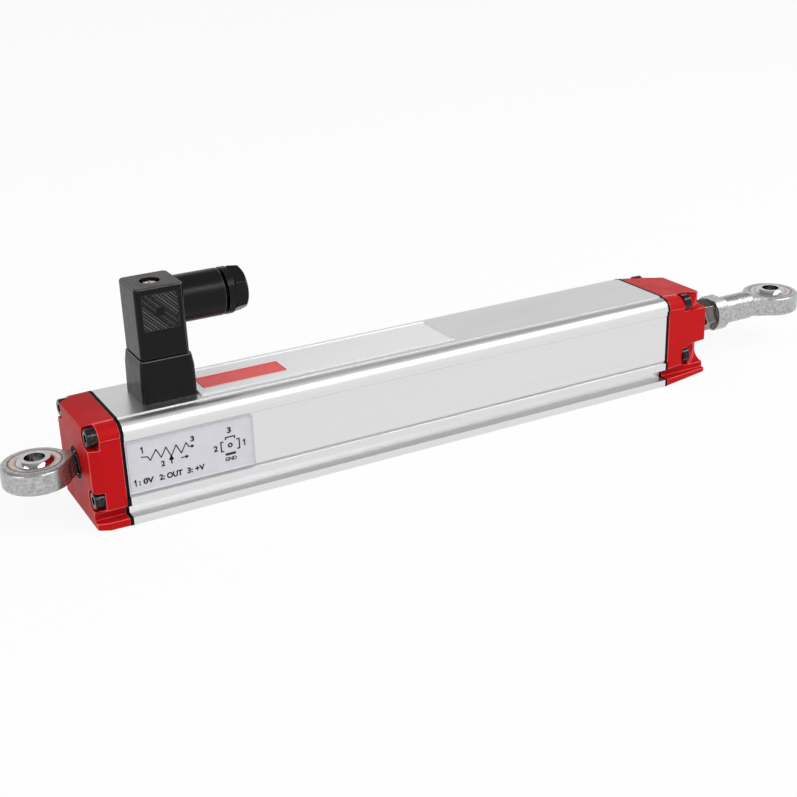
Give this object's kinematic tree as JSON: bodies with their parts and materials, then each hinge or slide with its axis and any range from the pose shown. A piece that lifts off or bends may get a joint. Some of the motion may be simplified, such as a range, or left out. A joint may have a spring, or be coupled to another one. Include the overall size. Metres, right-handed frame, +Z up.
{
  "type": "linear displacement sensor",
  "caption": "Rod-type linear displacement sensor: grooved aluminium profile with red end caps, right-angled plug on top, sliding push rod and ball-jointed rod ends at both ends.",
  "frame": {"origin": "centre of the fixed rod end's ball", "axes": "+X along the rod towards its moving eye, +Z up along the eye's bore, away from the resting face"},
  "size_m": [0.296, 0.0334, 0.0658],
  "materials": {
    "anodised_aluminium": "satin",
    "red_moulding": "satin",
    "black_rubber": "matte",
    "black_screw_steel": "satin",
    "bearing_bronze": "satin",
    "board_laminate": "satin",
    "conductive_film": "matte",
    "wire_insulation": "satin",
    "zinc_steel": "satin",
    "race_bronze": "satin",
    "ball_steel": "polished",
    "insert_brass": "satin",
    "spring_alloy": "satin",
    "ground_steel": "polished",
    "carriage_plastic": "satin",
    "black_plastic": "satin",
    "screw_nickel": "satin"
  },
  "bodies": {
    "housing": {"profile_tube": "anodised_aluminium", "rear_gasket": "black_rubber", "front_gasket": "black_rubber", "rear_cap": "red_moulding", "front_cap": "red_moulding", "rear_cap_screws": "black_screw_steel", "front_cap_screws": "black_screw_steel", "rod_bushing": "bearing_bronze", "rod_o_ring": "black_rubber", "rod_wiper_seal": "black_rubber", "front_bumper": "black_rubber", "rear_bumper": "black_rubber", "track_board": "board_laminate", "resistive_track": "conductive_film", "collector_track": "conductive_film", "lead_wires": "wire_insulation", "fixed_rod_end": "zinc_steel", "fixed_race": "race_bronze", "fixed_nut": "zinc_steel", "fixed_insert": "insert_brass", "connector_base": "black_plastic", "base_screws": "screw_nickel", "contact_pin_1": "insert_brass", "contact_pin_2": "insert_brass", "contact_pin_3": "insert_brass", "contact_pin_4": "insert_brass", "plug_gasket": "black_rubber", "plug_insert": "black_plastic", "plug_housing": "black_plastic", "plug_screw": "screw_nickel", "gland_seal": "black_rubber", "gland_washer": "screw_nickel", "gland_nut": "black_plastic"},
    "carriage": {"wiper_carriage": "carriage_plastic", "wiper_springs": "spring_alloy"},
    "rod": {"push_rod": "ground_steel", "rod_clips": "ground_steel", "rod_jam_nut": "zinc_steel", "rod_end_housing": "zinc_steel", "rod_end_race": "race_bronze"},
    "rod_eye_ball": {"rod_end_ball": "ball_steel"},
    "fixed_eye_ball": {"fixed_ball": "ball_steel"}
  },
  "joints": [
    {"name": "rod_slide", "type": "slide", "parent": "housing", "child": "carriage", "axis": [1, 0, 0], "range_m": [0, 0.125]},
    {"name": "rod_turn", "type": "hinge", "parent": "carriage", "child": "rod", "pos_m": [0.2, 0, 0], "axis": [1, 0, 0], "continuous": true},
    {"name": "rod_ball_tilt", "type": "hinge", "parent": "rod", "child": "rod_eye_ball", "pos_m": [0.276, 0, 0], "axis": [0, 1, 0], "range_deg": [-13, 13]},
    {"name": "fixed_ball_tilt", "type": "hinge", "parent": "housing", "child": "fixed_eye_ball", "pos_m": [0, 0, 0], "axis": [0, 1, 0], "range_deg": [-13, 13]}
  ]
}
